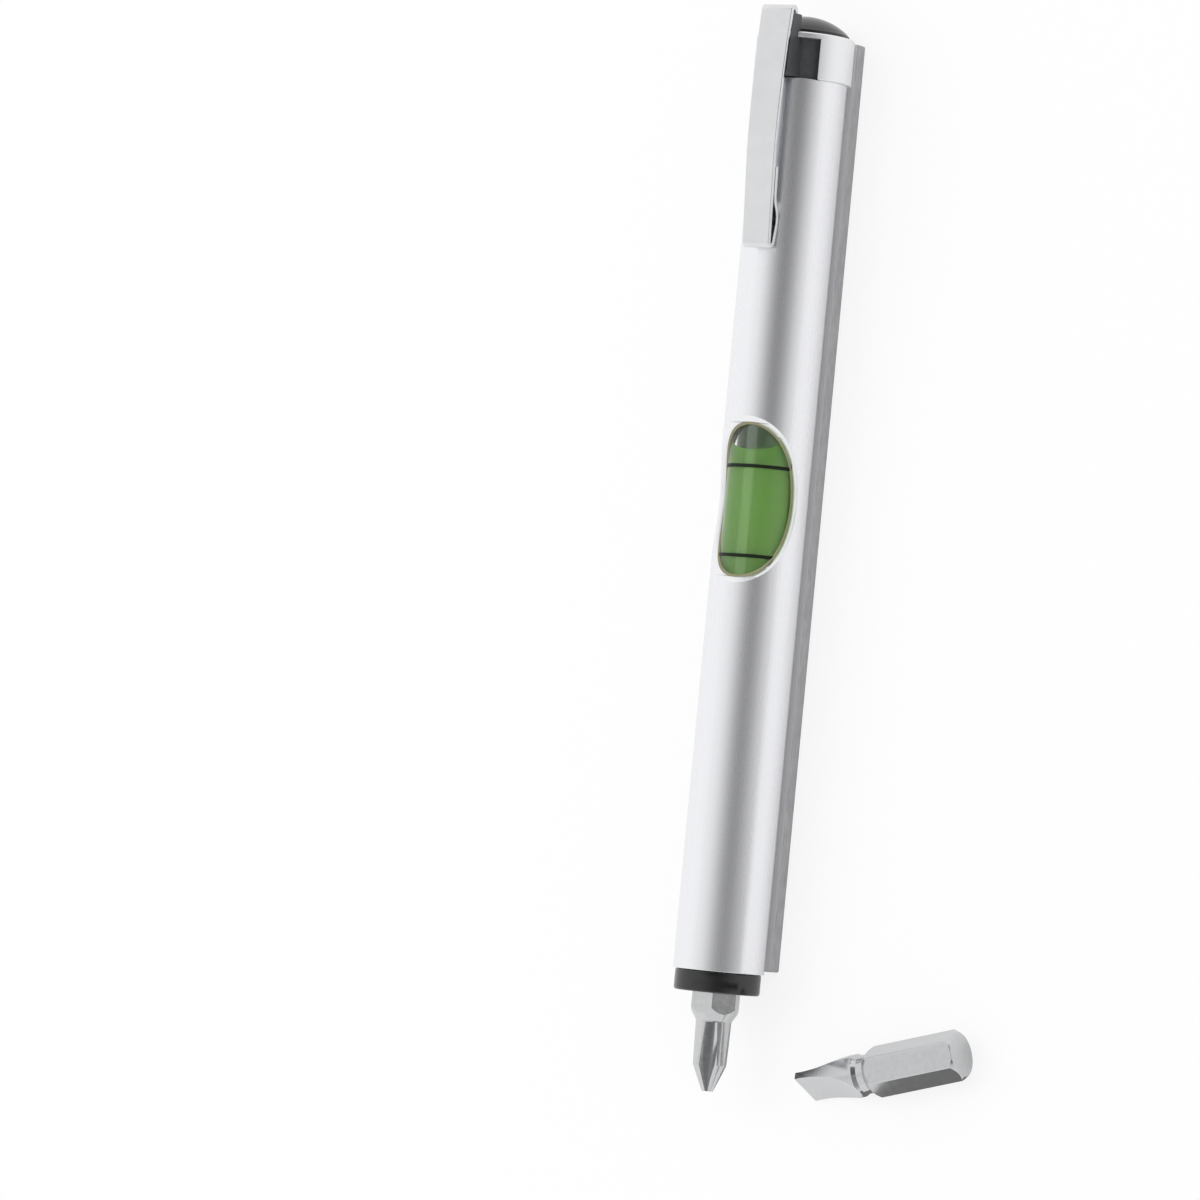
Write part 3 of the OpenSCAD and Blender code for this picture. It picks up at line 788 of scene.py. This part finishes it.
def strip(name, path, width_at):
    """A strip with rounded edges, bent along a path of (x, z)."""
    points, faces = [], []
    for i, (x, z) in enumerate(path):
        before, after = Vector(path[max(i - 1, 0)]), Vector(path[min(i + 1, len(path) - 1)])
        along = (after - before).normalized()
        side = Vector((-along.y, along.x))
        w = width_at(x) / 2
        section = eased([(-w, -half_t, strip_edge), (w, -half_t, strip_edge),
                         (w, half_t, strip_edge), (-w, half_t, strip_edge)])
        points += [(x + side.x * t, y, z + side.y * t) for y, t in section]
    count = len(section)
    for i in range(len(path) - 1):
        for k in range(count):
            a, b = i * count + k, i * count + (k + 1) % count
            faces.append((a, b, b + count, a + count))
    faces.append(tuple(range(count)))
    faces.append(tuple(range(len(points) - 1, len(points) - count - 1, -1)))
    return solid(name, points, faces)


tongue_z = fold_z - fold_r + half_t
fold_start_x = fold_x - fold_lead
tongue_start_x = fold_x - tongue_len + free_gap
tongue_end_x = fold_start_x - shoulder_len
root_path = [(tongue_start_x, tongue_z), (tongue_end_x, tongue_z), (fold_start_x, tongue_z)]
root_path += arc(fold_x, fold_z, fold_r - half_t, -90, split_turn, steps=10)
root = strip("clip_root_strip", root_path, lambda x: clip_root_w if x >= fold_start_x else tongue_w)
break_edges(root, 0, angle=40)
fit(root, plate, "barrel", "clip_root")

arch_start = 90 - degrees(arch_tilt)
arch_end = 90 + degrees(kink_tilt)
leg_start = 260
leg_end = 270 + degrees(leg_bend)
bend_start = 90 + degrees(leg_bend)
bend_end = 90 + degrees(end_slope)
arm_path = arc(fold_x, fold_z, fold_r - half_t, split_turn, arch_start, steps=14)
arm_path += arc(clip_crown_x, arch_z, clip_arch_r - half_t, arch_start, arch_end, steps=40)[1:]
arm_path += arc(tip_fold_x, tip_fold_z, tip_fold_r - half_t, 90, leg_start, steps=18)
arm_path += arc(leg_x, leg_z, leg_mid_r, leg_start, leg_end, steps=16)
arm_path += arc(bend_x, bend_z, leg_mid_r, bend_start, bend_end, steps=10)[1:]
last_x, last_z = arm_path[-1]
leg_end_x = clip_low.x + leg_len
arm_path.append((leg_end_x, last_z + (leg_end_x - last_x) * tan(end_slope)))
arm = strip("clip_arm_strip", arm_path, clip_width)
break_edges(arm, 0, angle=40)
fit(arm, plate, "clip", "clip_arm")

# Top plug: a black moulding like a spool, hollow below its dome to clear the tip
# of the outer bit. Two beads grip the core's bore, so it pulls out by hand.
dome_h = plug_high.x - collar_high.x
dome_r = plug_high.z - axis_z
dome_edge = 0.5 * mm
dome_roof = 1.8 * mm
dome_lip_edge = 0.15 * mm
dome_steps = 12
roof_fillet = 0.3 * mm
plug_bead = 1.2 * mm
plug_neck = 0.35 * mm
plug_edge = 0.2 * mm
skirt_edge = 0.1 * mm
cap_h = dome_h - dome_edge
cap_r = (dome_r ** 2 + cap_h ** 2) / (2 * cap_h)
cap_turn = asin(dome_r / cap_r)
dome = [(plug_high.x - cap_r + cap_r * cos(t), cap_r * sin(t))
        for t in (cap_turn * (dome_steps - i) / dome_steps for i in range(dome_steps))]
roof_x = plug_high.x - dome_roof
neck_r = plug_r - plug_neck
low_bead_x = plug_low.x + plug_bead
high_bead_x = collar_high.x - plug_bead
skirt = eased([
    (roof_x, store_r, roof_fillet), (plug_low.x, store_r, skirt_edge),
    (plug_low.x, neck_r, skirt_edge), (plug_low.x + plug_neck, plug_r, plug_edge),
    (low_bead_x, plug_r, plug_edge), (low_bead_x + plug_neck, neck_r, plug_edge),
    (high_bead_x, neck_r, plug_edge), (high_bead_x + plug_neck, plug_r, plug_edge),
    (collar_high.x, plug_r, 0), (collar_high.x, dome_r, dome_lip_edge),
    dome[0] + (plug_edge,), (plug_high.x, 0, 0), (roof_x, 0, 0)])
# the rounding of the dome's lip ends where the skirt comes nearest to the dome's arc
lip_end = skirt.index(min(skirt, key=lambda p: hypot(p[0] - dome[1][0], p[1] - dome[1][1])))
plug = turned("top_plug_moulding",
              skirt[:lip_end + 1] + dome[1:] + [(plug_high.x, 0), (roof_x, 0)])
break_edges(plug, 0)
fit(plug, black, "plug", "top_plug")

# Studio: the pen lies on a pale floor under an even white sky. A card round the
# camera gives the bright metal its soft dark bands, and a small grey flag on the
# floor darkens the lower side of the loose bit. Neither is part of the pen.
view_rise = radians(60)
view_distance = 960 * mm
view_foot_x = -50 * mm
aim_x = -15.73 * mm
aim_side = -21.43 * mm
view_roll = radians(5.42)
lens_mm = 205.2

to_camera = Vector((0, -cos(view_rise), sin(view_rise)))
sideways = Vector((0, -sin(view_rise), -cos(view_rise)))
eye = Vector((view_foot_x, 0, axis_z)) + view_distance * to_camera
aim = Vector((aim_x, 0, axis_z)) + aim_side * sideways
back = (eye - aim).normalized()
up = (Vector((1, 0, 0)) - back.x * back).normalized()
right = up.cross(back)
right, up = (cos(view_roll) * right + sin(view_roll) * up,
             cos(view_roll) * up - sin(view_roll) * right)
camera = bpy.data.objects.new("camera", bpy.data.cameras.new("camera"))
camera.data.lens = lens_mm
camera.data.sensor_width = 36
camera.data.clip_start = 0.05
camera.data.clip_end = 20
camera.matrix_world = Matrix.Translation(eye) @ Matrix((right, up, back)).transposed().to_4x4()
bpy.context.scene.collection.objects.link(camera)
bpy.context.scene.camera = camera


def seen_white(nodes, links, seen, mirrored):
    """One share on rays from the camera or through glass, another on rays off metal, else 0."""
    path = nodes.new("ShaderNodeLightPath")
    total = None
    for ray, amount in (("Is Camera Ray", seen), ("Is Transmission Ray", seen),
                        ("Is Glossy Ray", mirrored)):
        part = nodes.new("ShaderNodeMath")
        part.operation = "MULTIPLY"
        part.inputs[1].default_value = amount
        links.new(path.outputs[ray], part.inputs[0])
        if total:
            add = nodes.new("ShaderNodeMath")
            add.operation = "MAXIMUM"
            links.new(total, add.inputs[0])
            links.new(part.outputs[0], add.inputs[1])
            part = add
        total = part.outputs[0]
    return total


floor_size = 6
floor_t = 0.02
floor = block("floor", (-floor_size, -floor_size, -floor_t), (floor_size, floor_size, 0))
floor_paint = bpy.data.materials.new("pale_floor")
floor_paint.use_nodes = True
nodes, links = floor_paint.node_tree.nodes, floor_paint.node_tree.links
painted = nodes["Principled BSDF"]
painted.inputs["Base Color"].default_value = (0.93, 0.93, 0.93, 1)
painted.inputs["Roughness"].default_value = 0.9
painted.inputs["Specular IOR Level"].default_value = 0.1
white = nodes.new("ShaderNodeEmission")
white.inputs["Strength"].default_value = 1
mix = nodes.new("ShaderNodeMixShader")
links.new(seen_white(nodes, links, seen=0.82, mirrored=0.2), mix.inputs["Fac"])
links.new(painted.outputs[0], mix.inputs[1])
links.new(white.outputs[0], mix.inputs[2])
links.new(mix.outputs[0], nodes["Material Output"].inputs["Surface"])
floor.data.materials.append(floor_paint)


def stage_card(name, points, faces, paint_name):
    """A card that glows but only shows in what is glossy. Gives the card and its glow."""
    mesh = bpy.data.meshes.new(name)
    mesh.from_pydata([tuple(p) for p in points], [], faces)
    card = bpy.data.objects.new(name, mesh)
    bpy.context.scene.collection.objects.link(card)
    card.visible_camera = False
    card.visible_diffuse = False
    card.visible_shadow = False
    card.visible_transmission = False
    paint = bpy.data.materials.new(paint_name)
    paint.use_nodes = True
    tree = paint.node_tree
    tree.nodes.remove(tree.nodes["Principled BSDF"])
    glow = tree.nodes.new("ShaderNodeEmission")
    tree.links.new(glow.outputs[0], tree.nodes["Material Output"].inputs["Surface"])
    mesh.materials.append(paint)
    return card, glow


card_r = 1.3
card_left = -75
card_right = 58
card_low_x = -2.4
card_high_x = 1.5
card_steps = 48
points, faces = [], []
for i in range(card_steps + 1):
    turn = radians(card_left + (card_right - card_left) * i / card_steps)
    spot = card_r * (cos(turn) * to_camera + sin(turn) * sideways)
    points += [spot + Vector((card_low_x, 0, axis_z)), spot + Vector((card_high_x, 0, axis_z))]
    if i:
        faces.append((2 * i - 2, 2 * i - 1, 2 * i + 1, 2 * i))
card, grey = stage_card("grey_card", points, faces, "card_grey")

card_nodes = grey.id_data.nodes
card_links = grey.id_data.links
card_point = card_nodes.new("ShaderNodeTexCoord").outputs["Object"]
where = card_nodes.new("ShaderNodeVectorRotate")
where.rotation_type = "X_AXIS"
where.inputs["Center"].default_value = (0, 0, axis_z)
where.inputs["Angle"].default_value = -(pi / 2 - view_rise)
apart = card_nodes.new("ShaderNodeSeparateXYZ")
angle = card_nodes.new("ShaderNodeMath")
angle.operation = "ARCTAN2"
span = card_nodes.new("ShaderNodeMapRange")
span.inputs["From Min"].default_value = -radians(card_left)
span.inputs["From Max"].default_value = -radians(card_right)
card_links.new(card_point, where.inputs["Vector"])
card_links.new(where.outputs["Vector"], apart.inputs[0])
card_links.new(apart.outputs["Y"], angle.inputs[0])
card_links.new(apart.outputs["Z"], angle.inputs[1])
card_links.new(angle.outputs[0], span.inputs["Value"])


def card_band(*levels):
    """Grey levels across the card, at equal turns from its left edge to its right."""
    ramp = card_nodes.new("ShaderNodeValToRGB")
    ramp.color_ramp.interpolation = "B_SPLINE"
    for i, level in enumerate(levels):
        stop = ramp.color_ramp.elements[i] if i < 2 else ramp.color_ramp.elements.new(1)
        stop.position = i / (len(levels) - 1)
        stop.color = (level, level, level, 1)
    card_links.new(span.outputs["Result"], ramp.inputs["Fac"])
    return ramp.outputs["Color"]


def card_blend(first, second, start, end):
    """One band of the card turns into the next between two stations."""
    step = card_nodes.new("ShaderNodeMapRange")
    step.inputs["From Min"].default_value = start
    step.inputs["From Max"].default_value = end
    card_links.new(apart.outputs["X"], step.inputs["Value"])
    join = card_nodes.new("ShaderNodeMix")
    join.data_type = "RGBA"
    # a colour mix has its two colours in sockets 6 and 7, and its result in socket 2
    card_links.new(step.outputs["Result"], join.inputs[0])
    card_links.new(first, join.inputs[6])
    card_links.new(second, join.inputs[7])
    return join.outputs[2]


nose_band = card_band(0.88, 0.84, 0.70, 0.44, 0.24, 0.14, 0.07, 0.07)
middle_band = card_band(0.97, 0.95, 0.80, 0.45, 0.29, 0.44, 0.80, 0.94)
clip_band = card_band(0.98, 0.95, 0.52, 0.14, 0.12, 0.33, 0.62, 0.86)
bands = card_blend(middle_band, nose_band, start=-0.080, end=-0.096)
bands = card_blend(bands, middle_band, start=-0.22, end=-0.36)
bands = card_blend(bands, clip_band, start=0.12, end=0.22)
card_links.new(bands, grey.inputs["Color"])

flag_start = -7 * mm
flag_end = 13 * mm
flag_len = 40 * mm
flag_gap = 0.6 * mm
flag_level = 0.2 * mm
flag_near = -(hex_r / 2 + flag_gap)
flag_far = flag_near - flag_len
flag_place = (Matrix.Translation((loose_middle.x, loose_middle.y, flag_level))
              @ Matrix.Rotation(radians(-loose_bit_angle), 4, "Z"))
flag_corners = [flag_place @ Vector((x, y, 0)) for x, y in (
    (flag_start, flag_near), (flag_end, flag_near), (flag_end, flag_far), (flag_start, flag_far))]
flag, dim = stage_card("floor_flag", flag_corners, [(0, 1, 2, 3)], "flag_grey")
dim.inputs["Strength"].default_value = 0.22
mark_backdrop(floor, card, flag)

sky = bpy.data.worlds.new("sky")
sky.use_nodes = True
nodes, links = sky.node_tree.nodes, sky.node_tree.links
even = nodes["Background"]
even.inputs["Color"].default_value = (1, 1, 1, 1)
even.inputs["Strength"].default_value = 0.85
bright = nodes.new("ShaderNodeBackground")
bright.inputs["Color"].default_value = (1, 1, 1, 1)
bright.inputs["Strength"].default_value = 1
mix = nodes.new("ShaderNodeMixShader")
links.new(seen_white(nodes, links, seen=1, mirrored=1), mix.inputs["Fac"])
links.new(even.outputs[0], mix.inputs[1])
links.new(bright.outputs[0], mix.inputs[2])
links.new(mix.outputs[0], nodes["World Output"].inputs["Surface"])
bpy.context.scene.world = sky

key = bpy.data.objects.new("key_light", bpy.data.lights.new("key_light", "AREA"))
key.data.shape = "DISK"
key.data.size = 0.8
key.data.energy = 3
key.location = (0.2, 0.5, 0.9)
key.visible_glossy = False
key.rotation_euler = key.location.to_track_quat("Z", "Y").to_euler()
bpy.context.scene.collection.objects.link(key)

bpy.context.scene.view_settings.view_transform = "Standard"

low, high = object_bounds()
